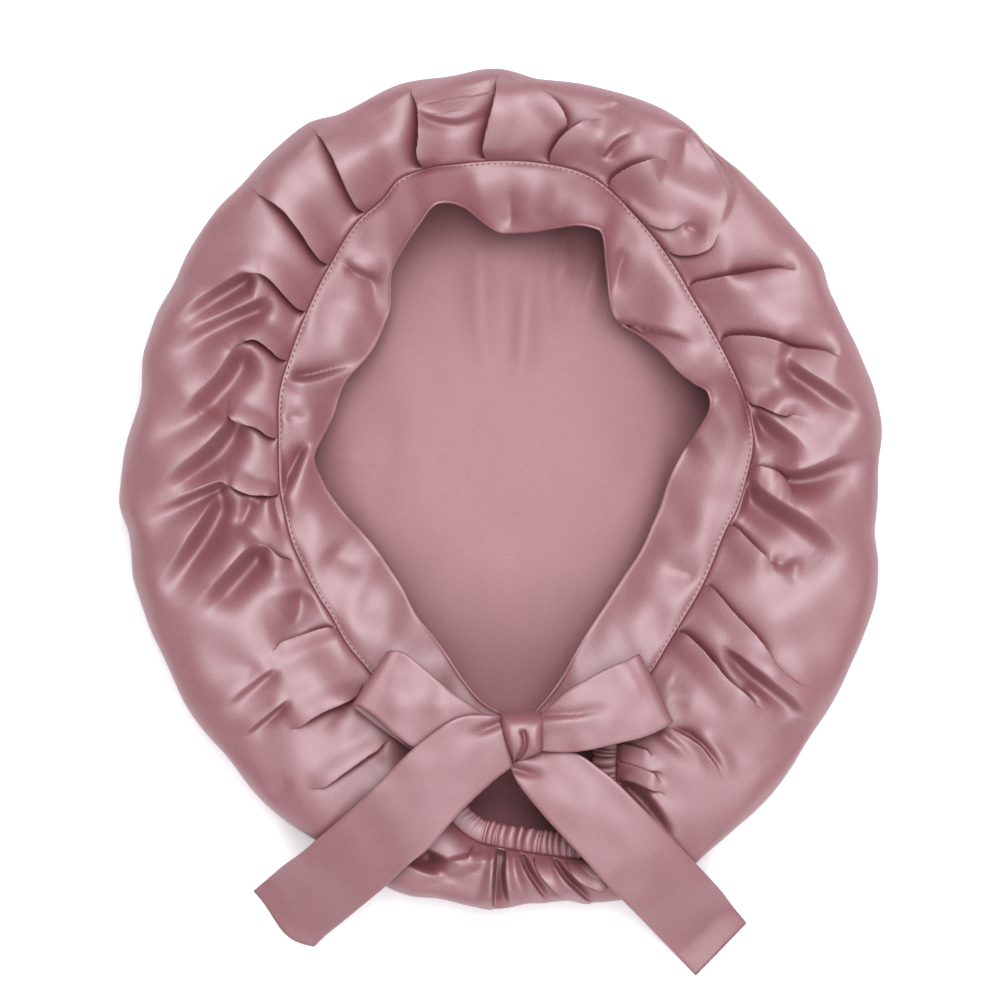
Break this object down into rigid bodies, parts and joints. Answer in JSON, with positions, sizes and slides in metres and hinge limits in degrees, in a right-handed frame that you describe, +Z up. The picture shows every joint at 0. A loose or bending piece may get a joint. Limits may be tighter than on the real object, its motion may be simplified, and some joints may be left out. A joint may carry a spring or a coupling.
{
  "type": "sleep bonnet",
  "caption": "Satin sleep bonnet lying on its gathered crown with the mouth up, its flat face band tied in a bow over a gathered elastic nape casing.",
  "frame": {"origin": "on the surface that the bonnet lies on, under the middle of its bounding box", "axes": "+Z up out of the mouth, +Y towards the brow, with the nape and the bow at -Y"},
  "size_m": [0.3185, 0.3801, 0.0516],
  "materials": {
    "crown_satin": "dusty rose satin, glossy outside and matte inside",
    "band_satin": "dusty rose satin",
    "casing_satin": "dusty rose satin, ruched over elastic",
    "ribbon_satin": "dusty rose satin"
  },
  "bodies": {
    "root": {"crown": "crown_satin", "face_band": "band_satin", "nape_casing": "casing_satin", "bow_knot": "ribbon_satin", "bow_loop_left": "ribbon_satin", "bow_loop_right": "ribbon_satin", "tie_tail_left": "ribbon_satin", "tie_tail_right": "ribbon_satin"}
  },
  "joints": []
}
